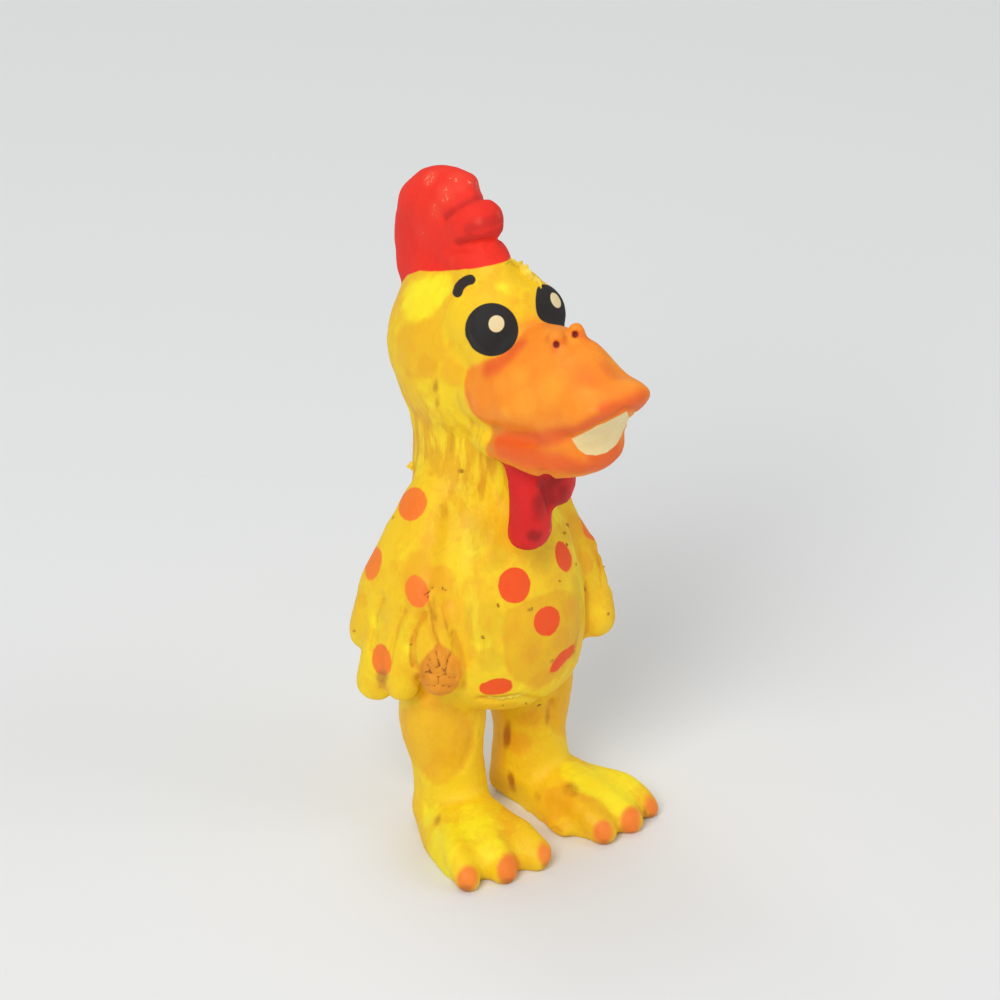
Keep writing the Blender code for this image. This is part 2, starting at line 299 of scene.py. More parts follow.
for spot in NUDGES:
    nudge(*spot)
points[on_floor, 2] = 0
print("outline eased in", len(NUDGES), "places")


# %% Wet sponge


def sponge(across, down, radius, rounds, both=True):
    """Wipes the clay smooth around a spot."""
    global points
    centre = on_skin(across, down)
    wet = fade(np.linalg.norm(points - centre, axis=1), radius)
    if both:
        wet = np.maximum(wet, fade(np.linalg.norm(points - centre * MIRROR, axis=1), radius))
    for _ in range(rounds):
        points = points + 0.9 * wet[:, None] * (neighbour_mean(points) - points)


WIPES = [  # across, down, radius in mm, rounds, on both sides
    (443, 478, 17, 30, True),  # the shoulder
    (562, 829, 6, 33, False),  # between the feet
    (462, 612, 8, 9, True),  # beside the wing
    (446, 236, 5.5, 30, False),  # the near lobe of the comb
    (596, 800, 8, 30, False),  # and on, the valleys between the toes
    (623, 790, 8, 30, False),
    (640, 784, 5, 18, False),
    (486, 848, 7, 26, False),
    (526, 838, 7, 26, False),
]
for wipe in WIPES:
    sponge(*wipe)
points[on_floor, 2] = 0
print(len(WIPES), "joins wiped smooth")

# %% [markdown]
# ## Carve the head
#
# The comb is three rolled lobes with tight creases between them. The two nostrils are pin holes, and
# the mouth is a soft line that runs back from the teeth to a dimple in the cheek.

# %% Comb, mouth and nostrils
carve(trace((476, 197.5), (464, 201.5), (453, 210), (446, 216.5), (442, 221)), 2.4, 1.1)
carve(trace((497, 240.5), (483, 243), (469, 245.5), (456, 249), (447, 252)), 2.2, 1.0)
carve(trace((497, 438), (504, 437), (516, 439), (530, 442), (546, 443), (560, 441), (571, 439)), 2.4, 0.5)
carve(trace((499, 426), (493, 431), (490, 438)), 3.2, 0.9)
carve(trace((503, 411), (510, 413)), 5.5, -0.8)
carve(trace((573, 438), (590, 429), (606, 419), (624, 409)), 1.1, 0.6)
carve(trace((546, 474), (547, 490), (551, 507)), 2.6, 1.3, both=False)
NOSTRILS = trace((556.5, 343.6), (578, 331.8))
HOLE_DEPTH, HOLE_RADIUS = 1.4, 1.5  # mm
for hole in NOSTRILS:
    gap = np.linalg.norm(points - hole, axis=1)
    points = points - (HOLE_DEPTH * fade(gap, HOLE_RADIUS))[:, None] * normals_now()
print("nostrils at", NOSTRILS.round(1).tolist())

# %% [markdown]
# ## Fold the wings and streak the neck
#
# Each wing ends in plump feathers with folds between them. The neck was dipped last, and the latex ran
# down it in cords that set before they could level out. The rest of the skin is only a little uneven.

# %% Folds of the wings
FOLDS = [  # a line, its width and its depth in mm
    (trace((414, 668), (411.5, 655), (411.5, 640), (415, 628), (422, 615)), 2.0, 1.5),
    (trace((412.5, 662), (411.5, 652), (411.5, 640)), 1.1, 0.8),
    (trace((389, 664), (391, 645), (395, 628), (402, 612)), 2.2, 1.2),
    (trace((372, 652), (373, 635), (376, 618), (382, 600)), 2.6, 1.0),
    (trace((419, 686), (417, 674), (420, 660), (428, 644)), 2.0, 0.7),
    (trace((464, 688), (466, 672), (461, 652), (453, 634)), 2.0, 0.6),
    (trace((431, 604), (434, 618), (436, 632), (440, 644)), 1.4, 0.5),
    (trace((423, 600), (428, 612), (430, 628), (432, 642)), 1.3, -0.4),
    (trace((447, 520), (450, 545), (452, 572), (453, 600)), 4.0, 0.5),
    (trace((440, 604), (445, 622), (450, 640)), 1.6, -0.45),
]
for line, width, depth in FOLDS:
    carve(line, width, depth)
HEM = trace((480, 699), (492, 700), (505, 698.5), (518, 697), (528, 698), (540, 700), (554, 704))
carve(HEM, 1.9, 0.9, both=False)
carve(HEM + (0, 0, 2.6), 1.8, -0.5, both=False)  # the rolled edge above the groove
LEG_FOLDS = [
    trace((456, 712), (466, 722), (472, 736), (470, 752), (462, 768)),
    trace((428, 806), (452, 803), (474, 800)),
]
for line in LEG_FOLDS:
    carve(line, 2.6, 0.45)
print(len(FOLDS), "folds on each wing,", len(LEG_FOLDS), "on each leg and a hem carved")

# %% Cords on the neck and a hand-made unevenness
NECK_HEIGHT, NECK_REACH = 108, 40  # mm: where the cords are strongest, and how far up and down they go
CORD_HEIGHT, HUMP_HEIGHT = 0.2, 0.3  # mm
upright = 1 - np.abs(normals_now()[:, 2])
neck_front = fade(np.abs(points[:, 2] - NECK_HEIGHT), NECK_REACH) * np.clip(2 * upright - 0.4, 0, 1)
for _ in range(50):  # so that no cord ends abruptly
    neck_front = neighbour_mean(neck_front[:, None])[:, 0]
cords = np.clip(waves(1.3, (1, 1, 0.12)) * 2.2, -1, 1)  # long in z, and cut off flat
uneven = waves(6.5)
points = points + (neck_front * cords * CORD_HEIGHT + uneven * HUMP_HEIGHT)[:, None] * normals_now()
points[on_floor, 2] = 0
print("cords from", cords.min().round(2), "to", cords.max().round(2))

# %% The worn finger tip
WORN_TIP = [(417, 678), (419, 664), (426, 655), (433, 649), (438, 641), (444, 646), (452, 651)]
WORN_TIP += [(460, 661), (462.5, 674), (459, 686), (451, 694), (441, 697), (430, 695), (421, 688)]
CRACKS = [
    [(452, 655), (449, 661), (447, 668), (445, 675), (438, 677), (431, 673), (424, 671)],
    [(437, 653), (439, 660), (441, 667), (445, 675)],
    [(438, 677), (437, 683), (433, 687), (427, 686)],
    [(445, 675), (450, 679), (457, 677)],
    [(431, 673), (427, 667), (429, 661)],
    [(437, 683), (443, 688), (450, 687)],
    [(424, 671), (421, 677)],
    [(441, 667), (436, 668)],
    [(424, 595), (429, 592), (434, 589)],
    [(427, 598), (429, 592)],
]
CRACK_DEPTH, CRACK_WIDTH, WORN_RADIUS = 0.8, 1.1, 8.5  # mm
cracks = [trace(*pairs) for pairs in CRACKS]
crack_gap = np.min([distance_to(line, points) for line in cracks], axis=0)
worn_middle = on_skin(440, 672)
puff = fade(np.linalg.norm(points - worn_middle, axis=1), WORN_RADIUS)
points = points + (puff * (0.3 + 0.7 * waves(1.9) + 0.35 * waves(0.8)))[:, None] * normals_now()
points = points - (CRACK_DEPTH * fade(crack_gap, CRACK_WIDTH))[:, None] * normals_now()
points[:, 2] = np.maximum(points[:, 2], 0)  # nothing below the floor
print("worn patch is centred at", worn_middle.round(1).tolist())

# %% [markdown]
# ## Where each paint lies
#
# The paint has crisp edges, finer than the squares of the skin. Storing a colour at each point would
# blur them. What is stored instead is a distance: how far, in millimetres, the point lies inside the
# painted shape. Distances blend evenly between points, so the shader can cut a sharp edge anywhere.

# %% Shapes that paint follows
view, mirror_view = seen(points), seen(points * MIRROR)
PER_MM = ZOOM / view[:, 2].mean()
normals = normals_now()
LOOKS = [(view, normals @ np.array(BACK)), (mirror_view, normals @ (np.array(BACK) * MIRROR))]
paint = {}


def rim(facing):
    """Ends a mark a little way round the edge of what the camera sees. facing is 1 straight ahead."""
    return 12 * facing + 1.5


def inside_outline(outline, places):
    """Distance inside a closed outline in a plane. It is negative outside."""
    outline = np.array(outline, float)
    closed = np.vstack([outline, outline[:1]])
    gap = distance_to(closed, places)
    crossings = np.zeros(len(places), int)
    for (x0, y0), (x1, y1) in zip(closed, closed[1:]):
        spans = (y0 > places[:, 1]) != (y1 > places[:, 1])
        with np.errstate(divide="ignore", invalid="ignore"):
            meets = x0 + (places[:, 1] - y0) / (y1 - y0) * (x1 - x0)
        crossings += spans & (places[:, 0] < meets)
    return np.where(crossings % 2 == 1, gap, -gap)


def patch(outline, depth=9.0, both=False):
    """Inside an outline that the camera sees, on the side of the skin that faces it."""
    outline = np.array(outline, float)
    middle = seen(on_skin(*outline.mean(0))[None])[0, 2]
    result = None
    for looks, facing in LOOKS[: 1 + both]:
        gap = inside_outline(outline, looks[:, :2]) / PER_MM
        gap = np.minimum(gap, depth - np.abs(looks[:, 2] - middle))
        gap = np.minimum(gap, rim(facing))
        result = gap if result is None else np.maximum(result, gap)
    return result


def oval(across, down, wide, tall, lean=0.0, both=False):
    """Inside an oval that the camera sees upright, or leaning to the right by so many degrees."""
    turn = math.radians(lean)
    middle = seen(on_skin(across, down)[None])[0, 2]
    result = np.full(count, -99.0)
    for looks, facing in LOOKS[: 1 + both]:
        x, y = looks[:, 0] - across, down - looks[:, 1]
        x, y = x * math.cos(turn) - y * math.sin(turn), x * math.sin(turn) + y * math.cos(turn)
        size = np.sqrt((x / wide) ** 2 + (y / tall) ** 2)
        gap = (1 - size) * min(wide, tall) / PER_MM
        near = 5.0 + max(wide, tall) / PER_MM - np.abs(looks[:, 2] - middle)
        result = np.maximum(result, np.minimum(np.minimum(gap, near), rim(facing)))
    return result


def disc(centre, axis, radius, depth=5.0):
    """Inside a flat disc of paint, as a stencil with this axis would lay it."""
    axis = np.array(axis) / np.linalg.norm(axis)
    away = points - centre
    along = away @ axis
    flat = np.linalg.norm(away - along[:, None] * axis, axis=1)
    return np.minimum(radius - flat, depth - np.abs(along))


def far_dot(across, down, radius):
    """A round dot on the far side, at the mirror image of what the camera sees there."""
    centre = on_skin(across, down)
    axis = normals[np.linalg.norm(points - centre, axis=1) < 2.5].mean(0)
    return disc(centre * MIRROR, axis * MIRROR, radius)


def profile(outline):
    """Inside an outline drawn on the side view, as y and z in mm."""
    return inside_outline(outline, points[:, 1:])


def clouds_at(*spots, both=True):
    """Soft clouds of paint: across, down, radius in mm and strength of each."""
    total = np.zeros(count)
    for across, down, radius, strength in spots:
        centre = on_skin(across, down)
        cloud = fade(np.linalg.norm(points - centre, axis=1), radius)
        if both:
            cloud = np.maximum(cloud, fade(np.linalg.norm(points - centre * MIRROR, axis=1), radius))
        total = np.maximum(total, strength * cloud)
    return total


print("one mm is", round(PER_MM, 2), "thousandths of the picture's width")

# %% Comb, bill and wattles
paint["comb"] = profile(
    [(60, 140), (36.8, 147.4), (34.2, 151), (27.2, 155.6), (20.4, 157.9), (11.1, 161.9), (6.4, 163.7)]
    + [(4.3, 164.4), (-12, 168), (-12, 200), (60, 200)]
)
BILL_EDGE = [(-7.4, 154.6), (-7.8, 152.4), (-11.0, 150.4), (-10.2, 148.0), (-8.0, 146.0), (-4.9, 143.8)]
BILL_EDGE += [(-1.5, 141.3), (1.2, 139), (0.8, 136.2), (-1.4, 134), (-3.6, 132), (-5.4, 129), (-7, 126)]
paint["bill"] = profile([*BILL_EDGE, (-7.5, 122), (-6, 116), (-20, 110), (-70, 112), (-70, 175), (-9, 160)])

LOBES = [  # the middle line of each wattle, and its reach in mm
    ([(-2.9, -5.0, 121.5), (-3.6, -11.8, 106.7), (-3.6, -11.8, 92.9)], 7.4),
    ([(4.0, -5.0, 121.5), (5.0, -11.8, 112.1), (5.0, -11.8, 103.7)], 7.2),
]
WATTLE = [(506, 452), (507, 480), (508.5, 500), (510.5, 522), (514, 538), (524, 547.5), (535, 550.5)]
WATTLE += [(547, 546.5), (554.5, 537), (555.5, 522), (553, 511), (558, 512), (568, 507), (575, 494)]
WATTLE += [(573, 480), (566, 474), (552, 472.5), (536, 468.5), (520, 460.5), (508, 452)]
capsules = np.maximum(*[reach - distance_to(line, points) for line, reach in LOBES])
# The outline ends them where they can be seen, and a height where they can't.
unseen = np.maximum(inside_outline(WATTLE, view[:, :2]) / PER_MM, 118.0 - points[:, 2])
paint["wattle"] = np.minimum(capsules, unseen)
# Above 104 mm they keep in front of the neck.
paint["wattle"] = np.minimum(paint["wattle"], np.maximum(-4.4 - points[:, 1], 104 - points[:, 2]))
for name in ("comb", "bill", "wattle"):
    print(name, "covers", (paint[name] > 0).sum(), "points")

# %% Eyes, brows, teeth and nostrils
NEAR_EYE = on_skin(492.2, 328.8)
FAR_EYE = NEAR_EYE * MIRROR + (-1.2, -0.3, 0)
EYE_RADIUS = 6.8  # mm
paint["eye"] = np.maximum(
    disc(NEAR_EYE, (-0.5, -0.72, 0.48), EYE_RADIUS), disc(FAR_EYE, (0.5, -0.72, 0.48), EYE_RADIUS)
)
far_glint = disc(on_skin(556.5, 301), (0.42, -0.75, 0.5), 2.1, 2.5)
paint["glint"] = np.maximum(oval(496.5, 323.8, 8.0, 8.6, 10), far_glint)
BROW = [(457.4, 292), (459, 287.5), (462.5, 283.2), (466.5, 280.6), (470.3, 279.6)]
near_brow = (5.2 - distance_to(BROW, view[:, :2])) / PER_MM
near_brow = np.minimum(near_brow, 8 - np.abs(view[:, 2] - seen(trace(*BROW))[2, 2]))
paint["brow"] = np.maximum(near_brow, 1.6 - distance_to(trace(*BROW) * MIRROR, points))
TEETH = [(572, 439), (590, 430), (606, 420), (626, 409), (630, 420), (622, 435), (616, 445)]
TEETH += [(606, 453), (596, 455.5), (586, 454.5), (578, 448.5)]
paint["tooth"] = patch(TEETH, 7)
paint["nostril"] = np.max([disc(hole, BACK, 0.95, 1.8) for hole in NOSTRILS], axis=0)
print("near eye at", NEAR_EYE.round(1).tolist())

# %% Nails and spots
NAILS = [  # across, down, half width, half height, lean
    (467.5, 879, 10.5, 14, 14),
    (508, 869, 10.4, 15, 10),
    (545.5, 855, 7.6, 12.5, -16),
    (603, 832, 9.4, 12.5, 0),
    (631, 822, 9.4, 15, 4),
    (653, 809, 6.2, 12.5, -20),
]
paint["nail"] = np.max([oval(*nail) for nail in NAILS], axis=0)
WING_SPOTS = [(412.5, 504.5, 13.2, 17.5, 24), (373.4, 563.6, 7.6, 16, 12), (417, 591, 11.2, 16.6, -18)]
WING_SPOTS += [(382, 660, 9.6, 16.5, -6)]
BELLY_SPOTS = [(514.5, 585.5, 16, 17.5, 0), (546.7, 621, 13, 15, 18), (496, 686.5, 16.8, 8, -8)]
BELLY_SPOTS += [(561, 660, 4.6, 18, 42), (563.5, 557, 7.4, 15.5, -12)]
paint["spot"] = np.max([oval(*spot) for spot in BELLY_SPOTS], axis=0)
paint["wing_spot"] = np.max(
    [oval(*spot) for spot in WING_SPOTS]
    + [far_dot(across, down, tall / PER_MM) for across, down, _, tall, _ in WING_SPOTS],
    axis=0,
)

# %% Worn, cracked and stained rubber
paint["worn"] = patch(WORN_TIP)
paint["crack"] = 0.17 - crack_gap  # mm: half the width of the dark line
STAINS = [  # an oval, and how strong the stain is
    (507, 735, 4.2, 13, 3, 1.0),
    (512, 781, 3.6, 10, -12, 0.9),
    (547.5, 716, 3.2, 10, 6, 0.75),
    (436, 385, 2.6, 8, 0, 0.7),
    (428, 427, 2.6, 7, 0, 0.5),
    (437, 402, 1.8, 9, 4, 0.5),
    (452, 445, 1.6, 12, 5, 0.5),
    (441, 462, 1.5, 10, 12, 0.5),
    (467, 500, 1.6, 14, 2, 0.25),
    (438, 821, 4, 8, 22, 0.55),
    (382, 684, 6, 6, 5, 0.5),
    (461, 471, 4, 3, 0, 0.9),
    (571, 790, 9, 10, 20, 0.35),
    (645, 812, 3, 7, 0, 0.8),
    (558, 829, 7, 2.5, 30, 0.5),
    (538, 796, 5, 7, 0, 0.3),
    (478, 744, 1.4, 10, 6, 0.5),
    (552, 765, 7, 3, 60, 0.3),
    (578, 634, 1.5, 22, 12, 0.6),
    (566, 668, 1.6, 14, 36, 0.5),
    (598, 560, 1.2, 16, -14, 0.7),
    (447, 628, 1.4, 18, -14, 0.7),
    (436, 622, 1.2, 20, -6, 0.6),
    (431, 610, 1.2, 14, -16, 0.5),
]
soft = [strength * np.clip(0.45 + 0.75 * oval(*place), 0, 1) for *place, strength in STAINS]
paint["stain"] = np.max(soft, axis=0)
TIPS = [(466, 889, 8, 4), (508, 882, 8, 3.5), (547, 865, 5, 3), (604, 843, 7, 3), (631, 836, 7, 3.5)]
TIPS += [(651, 819, 6, 6), (382, 676.5, 6, 7)]
paint["tip"] = np.max([oval(*tip) for tip in TIPS], axis=0)
# Amber patches on the cheeks, the upper legs and the wings; those on the upper legs and on the wings above
# the feathers are partly painted shade under the wings.
AMBER_AND_SHADE = [
    [(396, 338), (404, 324), (424, 319), (438, 323), (443, 338), (444, 352), (438, 368), (426, 379)]
    + [(408, 376), (396, 360)],
    [(398, 712), (412, 706), (430, 703), (450, 703), (467, 714), (474, 732), (474, 748), (464, 768)]
    + [(450, 784), (436, 788), (426, 780), (412, 758), (402, 735)],
    [(410, 550), (424, 552), (432, 572), (437, 600), (434, 640), (420, 622), (404, 612), (400, 580)],
]
BELLY = [(502, 632), (504, 612), (520, 602), (560, 588), (582, 596), (580, 640), (564, 674), (540, 688)]
BELLY += [(515, 682), (503, 665)]
paint["amber_and_shade"] = np.max([patch(outline, 14, both=True) for outline in AMBER_AND_SHADE], axis=0)
paint["belly"] = patch(BELLY, 14)
print(len(STAINS), "stains,", len(WING_SPOTS + BELLY_SPOTS), "spots and", len(NAILS), "nails")

# %% Clouds and strokes of warmer, fresher and duller paint, of painted shade and of painted highlight


def strokes_at(*rows, both=True):
    """Soft strokes along a line: its places, half width in mm and strength."""
    total = np.zeros(count)
    for pairs, half, strength in rows:
        line = trace(*pairs)
        gap = distance_to(line, points)
        if both:
            gap = np.minimum(gap, distance_to(line * MIRROR, points))
        total = np.maximum(total, strength * fade(gap, half))
    return total


paint["warm"] = clouds_at(
    (450, 375, 9, 1.0), (428, 368, 8, 0.9), (452, 348, 6, 0.45), (410, 345, 9, 0.7), (515, 300, 5, 0.7),
    (520, 745, 9, 0.7), (530, 720, 8, 0.6), (430, 770, 10, 0.7), (560, 800, 9, 0.9), (585, 795, 7, 0.8),
    (400, 570, 9, 0.8), (440, 580, 9, 0.9), (447, 615, 7, 0.9), (395, 640, 6, 0.5), (540, 680, 9, 0.8),
    (385, 690, 6, 1.0), (430, 700, 8, 0.8), (560, 640, 9, 0.9), (405, 610, 6, 0.8), (540, 650, 12, 0.6),
    (430, 545, 7, 0.6), (415, 470, 5, 0.6), (362, 600, 5, 0.6), (440, 760, 9, 0.8), (570, 610, 7, 0.9),
)
paint["fresh"] = clouds_at(
    (415, 300, 13, 1.0), (440, 290, 9, 0.9), (440, 850, 17, 1.0), (475, 830, 13, 1.0), (430, 405, 6, 0.5),
    (405, 540, 8, 0.4), (378, 620, 8, 0.6), (410, 650, 5, 0.8), (500, 590, 5, 0.4), (470, 545, 8, 0.8),
    (483, 640, 6, 0.5), (575, 770, 9, 0.8), (520, 285, 8, 0.5), (590, 600, 10, 0.3), (430, 815, 8, 0.9),
    (490, 848, 9, 1.0), (520, 690, 5, 0.5), (510, 500, 5, 0.6), (450, 395, 5, 0.6), (620, 790, 6, 0.3),
)
# Duller olive paint on the neck, chest and belly, and painted shade under the brows and between the toes.
paint["olive_and_shade"] = clouds_at(
    (455, 430, 13, 0.7), (475, 480, 13, 0.8), (480, 530, 12, 0.8), (500, 560, 9, 0.7), (485, 620, 13, 0.9),
    (490, 660, 9, 0.7), (480, 320, 4, 0.3), (545, 560, 8, 0.6), (440, 690, 9, 0.5), (500, 470, 7, 0.4),
    (530, 570, 8, 0.5), (575, 560, 10, 0.4), (530, 288, 4, 0.6), (560, 690, 6, 0.5), (535, 740, 9, 0.4),
    (490, 300, 8, 0.35), (478, 290, 3, 0.6), (520, 860, 3, 0.6), (485, 880, 3, 0.6), (575, 830, 4, 0.4),
)
# Redder paint round the nostrils and along the back of the bill, and painted shade under the overhang of
# the lip and on the lower jaw.
paint["blush_and_lip_shade"] = np.maximum(
    clouds_at((556, 348, 3.4, 0.6), (579, 335, 3, 0.6), (610, 372, 9, 0.5), (470, 400, 5, 0.3)),
    strokes_at(
        ([(519, 346), (508, 358), (497, 365), (488, 369)], 5.5, 0.8),
        ([(468, 396), (470, 408), (477, 422), (486, 436)], 4.5, 0.5),
        ([(500, 447), (512, 452), (530, 457), (560, 464), (585, 470), (600, 466), (612, 452)], 7.5, 0.9),
        ([(500, 440), (520, 440), (545, 438), (572, 431), (596, 420), (622, 407), (643, 397)], 5.2, 0.85),
    ),
)
# Painted highlight: lighter orange where light falls on the top of the bill and on the ball of the cheek.
paint["bill_highlight"] = clouds_at(
    (550, 390, 10, 0.9), (525, 402, 8, 1.0), (506, 412, 3.6, 1.0), (520, 378, 7, 0.8), (500, 385, 6, 0.6),
    (570, 340, 4, 0.7), (628, 380, 4, 0.5), (612, 462, 2.0, 0.6), (560, 470, 3, 0.3), (590, 395, 6, 0.6),
)
# Painted shade under the lobes of the comb and in the dimple at the corner of the mouth, and a darker band
# down the back of the comb.
paint["lobe_and_mouth_shade"] = strokes_at(
    ([(474, 199), (464, 204), (452, 212), (446, 218)], 2.2, 0.9),
    ([(498, 233), (486, 235), (470, 238), (458, 242)], 2.6, 1.0),
    ([(496, 222), (484, 224), (469, 229)], 3.8, 0.8),
    ([(412, 205), (410, 225), (414, 245)], 5.0, 0.35),
    ([(497, 428), (491, 433), (488, 441), (491, 449)], 3.4, 0.9),
)
paint["drips"] = strokes_at(([(464, 498), (466, 540), (470, 590), (478, 650)], 10, 1.0))
# Painted shade in the folds between the feathers of the wings.
paint["fold_shade"] = strokes_at(
    ([(414, 631), (412, 642), (411.5, 655), (413, 667), (417, 677)], 1.0, 1.0),
    ([(391, 636), (389.5, 650), (390, 664)], 1.1, 0.7),
    ([(373, 630), (371.5, 642), (371, 650)], 1.1, 0.7),
    ([(425, 596), (430, 612), (434, 630), (438, 642)], 1.2, 0.8),
    ([(402, 603), (399, 618), (396, 632)], 1.2, 0.5),
)
paint["shade"] = strokes_at(
    ([(530, 466), (548, 474), (562, 480)], 6.0, 1.0),
    ([(560, 478), (563, 492), (560, 505)], 4.5, 0.9),
    ([(541, 473), (544, 486), (550, 499)], 4.2, 1.0),
    ([(532, 535), (538, 538)], 3.4, 1.0),
    ([(519, 470), (536, 478)], 3.0, 0.8),
)
# Pale specks and lighter patches on the comb, and a painted highlight low on the wattles.
paint["specks_and_highlight"] = clouds_at(
    (430, 178, 5, 1.0), (445, 195, 7, 0.8), (436, 210, 6, 0.7), (470, 182, 4, 0.7), (478, 222, 2.2, 0.7),
    (460, 176, 6, 0.6), (420, 230, 7, 0.4), (452, 258, 4, 0.5), (550, 529, 1.6, 1.0), (545, 523, 1.2, 0.7),
)
print("clouds and strokes laid")

# %% Painted shade in the hollows, the cords, and everything goes onto the skin
normals = normals_now()
HOLLOW_SHADE_GAIN = 29  # brings the hollows, a few hundredths of a mm deep, to about 1
# Painted shade: the deeper a hollow or crease, the darker amber the skin is painted there.
hollow_shade = ((neighbour_mean(points) - points) * normals).sum(1)
for _ in range(5):
    hollow_shade = 0.5 * hollow_shade + 0.5 * neighbour_mean(hollow_shade[:, None])[:, 0]
paint["hollow_shade"] = hollow_shade * HOLLOW_SHADE_GAIN
off_comb = np.clip(1.2 - paint["comb"].clip(0, 2), 0, 1)
weaker_behind = 0.88 - 0.12 * normals[:, 1]
paint["neck"] = neck_front * off_comb * weaker_behind
for name, values in paint.items():
    layer = skin.attributes.new(name, "FLOAT", "POINT")
    layer.data.foreach_set("value", values.astype(np.float32))
    print(f"{name:8} from {values.min():7.2f} to {values.max():6.2f}")

# %% [markdown]
# ## Paint and rubber
#
# Latex rubber is soft and slightly see-through at the surface, so light bleeds a millimetre or so
# beneath it. The skin dried against fine plaster, which gives it a satin face. The hand paint is thin
# and a little more matt. So the highlights are broad and weak, and no edge of light is sharp.

# %% Colours and one node helper


def colour(code):
    """sRGB hex to the linear colour that a shader wants."""
    channels = [int(code[i : i + 2], 16) / 255 for i in (1, 3, 5)]
    return tuple(c / 12.92 if c <= 0.04045 else ((c + 0.055) / 1.055) ** 2.4 for c in channels) + (1.0,)


def add(tree, kind, inputs=None, out=None, **settings):
    """Adds a node and returns one output. inputs maps a socket to a value or to another output."""
    node = tree.nodes.new(kind)
    for name, value in settings.items():
        setattr(node, name, value)
    for name, value in (inputs or {}).items():
        if isinstance(value, bpy.types.NodeSocket):
            tree.links.new(value, node.inputs[name])
        else:
            node.inputs[name].default_value = value
    return node.outputs[out] if out else next(socket for socket in node.outputs if socket.enabled)


def start_material(name):
    material = bpy.data.materials.new(name)
    material.use_nodes = True
    tree = material.node_tree
    return material, tree, tree.nodes["Principled BSDF"]


# %% Patterns of the skin
# Natural latex bends light by about 1.52, and a moulded face has a roughness near 0.6. The pores of the
# real skin are under 0.1 mm, too fine to show, so "pores" draws them as 0.55 mm specks.
latex, tree, shader = start_material("painted_natural_latex")
place = add(tree, "ShaderNodeTexCoord", out="Object")
PATTERNS = {  # width of a blob in mm, detail, roughness, stretch
    "clouds": (22, 3, 0.5, (1, 1, 1)),
    "blotch": (8.5, 4, 0.6, (1, 1, 0.75)),
    "mottle": (3.4, 4, 0.65, (1, 1, 0.8)),
    "fine": (1.1, 3, 0.6, (1, 1, 1)),
    "streak": (1.5, 4, 0.6, (1, 1, 0.16)),
    "drip": (2.6, 3, 0.55, (1, 1, 0.14)),
    "smear": (4.2, 3, 0.55, (1, 1, 0.35)),
    "pores": (0.55, 2, 0.5, (1, 1, 1)),
    "veins": (6.5, 4, 0.6, (1, 1, 0.7)),
}
pattern = {}
for name, (size, detail, coarse, stretch) in PATTERNS.items():
    spread = add(tree, "ShaderNodeMapping", {"Vector": place, "Scale": stretch})
    knobs = {"Vector": spread, "Scale": 500 / size, "Detail": detail, "Roughness": coarse}
    pattern[name] = add(tree, "ShaderNodeTexNoise", knobs)
for step, knobs in (("SUBTRACT", {1: 0.5}), ("ABSOLUTE", {}), ("MULTIPLY_ADD", {1: -9.0, 2: 1.0})):
    pattern["veins"] = add(tree, "ShaderNodeMath", {0: pattern["veins"], **knobs}, operation=step)
print(len(pattern), "patterns")

# %% Layers of colour, from the rubber up
TOOTH = ("tooth", -0.14, 0.14, 0.4, "mottle", 1.0, "#F4DFA6", "#EDD294")
# name, where it starts and is full, sway, pattern of its edge, strength, colour, and a second colour
LAYERS = [
    (None, 0.505, 0.56, 1.0, "blotch", 0.40, "#F3B914", "#EFB012"),
    (None, 0.53, 0.60, 1.0, "mottle", 0.38, "#FCE01E", "#F8D01A"),
    ("warm", 0.35, 0.70, 1.8, "blotch", 0.70, "#F4AC12", "#F0B414"),
    ("fresh", 0.33, 0.68, 1.7, "blotch", 0.95, "#FFEC1E", "#FFE21A"),
    # Amber paint, partly painted shade on the legs and wings under the wings.
    ("amber_and_shade", -0.9, 0.9, 5.0, "blotch", 0.55, "#F0AC12", "#EAA60E"),
    ("belly", -0.5, 1.0, 3.0, "blotch", 0.64, "#E6A20C", "#EAAA10"),
    # Olive paint, with painted shade under the brows and between the toes.
    ("olive_and_shade", 0.48, 0.80, 1.8, "smear", 0.55, "#E6C01C", "#E0B416"),
    ("neck", 0.72, 1.0, 2.2, "smear", 0.45, "#F0B014", "#E8A60E"),
    ("neck", 0.62, 0.98, 2.6, "streak", 0.50, "#E3A40E", "#D89A0C"),
    ("neck", 0.70, 1.05, -2.6, "streak", 0.65, "#FFE626", "#FEDE1E"),
    ("drips", 0.85, 1.1, 2.6, "drip", 0.50, "#FCE62E", "#F8DC28"),
    ("drips", 0.95, 1.2, -2.6, "drip", 0.40, "#E8AE12", "#E4A60E"),
    (None, 0.70, 1.0, 1.0, "veins", 0.13, "#DD9A10", "#D68E0C"),
    # Painted shade along the feather folds.
    ("fold_shade", 0.3, 1.0, 0.5, "mottle", 0.62, "#D4860E", "#CC7C0A"),
    # Painted shade in the hollows and creases.
    ("hollow_shade", 0.5, 2.2, 0.5, "mottle", 0.55, "#E39410", "#D8870C"),
    ("stain", 0.12, 0.80, 1.1, "mottle", 0.85, "#C07208", "#AC6206"),
    ("spot", -0.14, 0.14, 1.4, "mottle", 1.0, "#F44E12", "#F35A18"),
    ("wing_spot", -0.2, 0.2, 1.4, "mottle", 1.0, "#F87A22", "#FA8628"),
    ("nail", -0.9, 0.7, 1.4, "mottle", 0.92, "#FA8630", "#F27628"),
    ("tip", -0.6, 0.6, 1.2, "mottle", 0.60, "#B86A28", "#A85E20"),
    ("bill", -1.0, 0.8, 3.0, "blotch", 1.0, "#FB931E", "#FA8A1A"),
    TOOTH,
]


